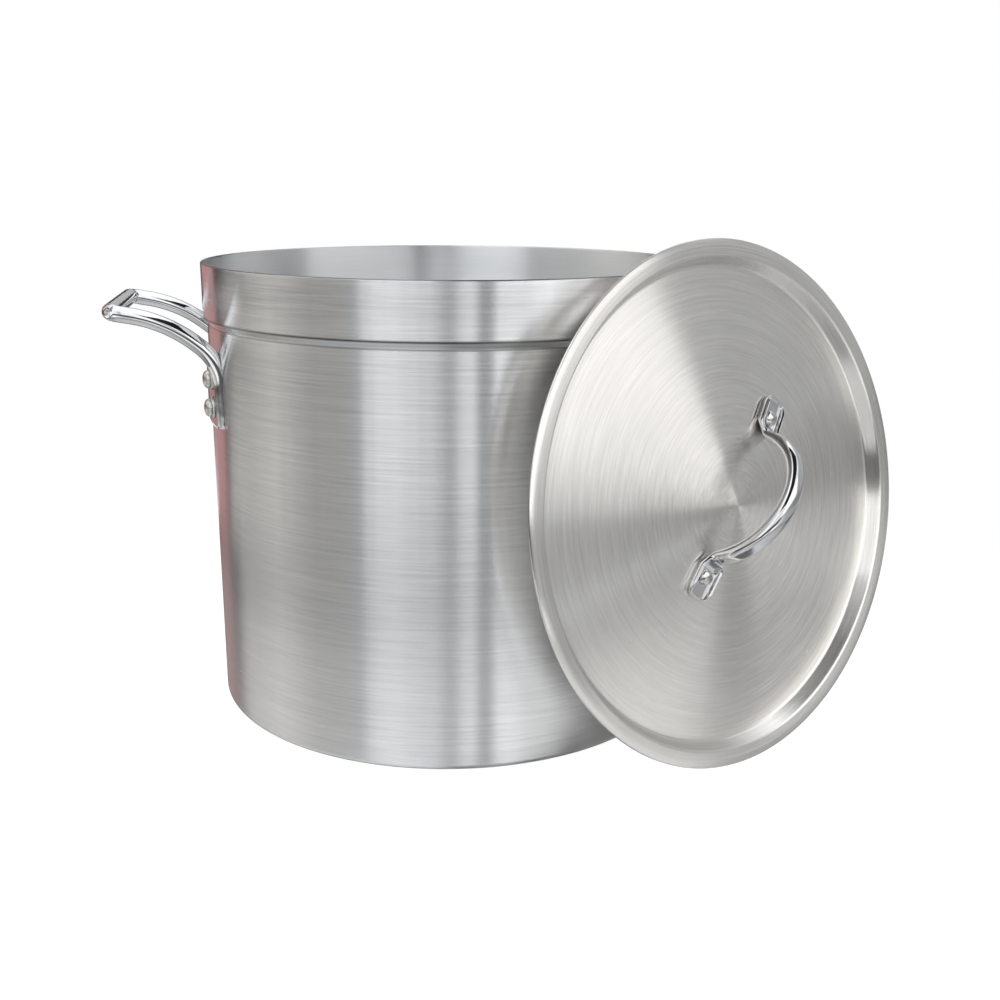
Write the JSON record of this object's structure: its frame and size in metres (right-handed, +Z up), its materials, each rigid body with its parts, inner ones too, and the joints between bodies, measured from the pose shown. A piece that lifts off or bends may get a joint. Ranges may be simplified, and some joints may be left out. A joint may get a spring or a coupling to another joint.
{
  "type": "stock pot",
  "caption": "Straight-sided commercial aluminium stock pot with a stepped rim band, wide riveted loop handles and a loose recessed lid that stands on its edge beside it.",
  "frame": {"origin": "centre of the underside of the pot's base", "axes": "+Z up along the pot's axis, +X through the middle of the right loop handle"},
  "size_m": [0.5655, 0.4305, 0.3461],
  "materials": {
    "pot_aluminium": "satin, brushed round the wall",
    "lid_aluminium": "satin, spun in circles",
    "handle_steel": "mirror polished",
    "rivet_aluminium": "dull, as formed"
  },
  "bodies": {
    "pot": {"pot_shell": "pot_aluminium", "handle_left": "handle_steel", "handle_right": "handle_steel", "rivet_left_1": "rivet_aluminium", "washer_left_1": "rivet_aluminium", "rivet_left_2": "rivet_aluminium", "washer_left_2": "rivet_aluminium", "rivet_left_3": "rivet_aluminium", "washer_left_3": "rivet_aluminium", "rivet_left_4": "rivet_aluminium", "washer_left_4": "rivet_aluminium", "rivet_right_1": "rivet_aluminium", "washer_right_1": "rivet_aluminium", "rivet_right_2": "rivet_aluminium", "washer_right_2": "rivet_aluminium", "rivet_right_3": "rivet_aluminium", "washer_right_3": "rivet_aluminium", "rivet_right_4": "rivet_aluminium", "washer_right_4": "rivet_aluminium"},
    "lid": {"lid_shell": "lid_aluminium", "lid_handle": "handle_steel", "lid_rivet_1": "rivet_aluminium", "lid_rivet_2": "rivet_aluminium"}
  },
  "joints": [
    {"name": "lid_lift", "type": "slide", "parent": "pot", "child": "lid", "axis": [0, 0, 1], "range_m": [0, 0.36]}
  ]
}
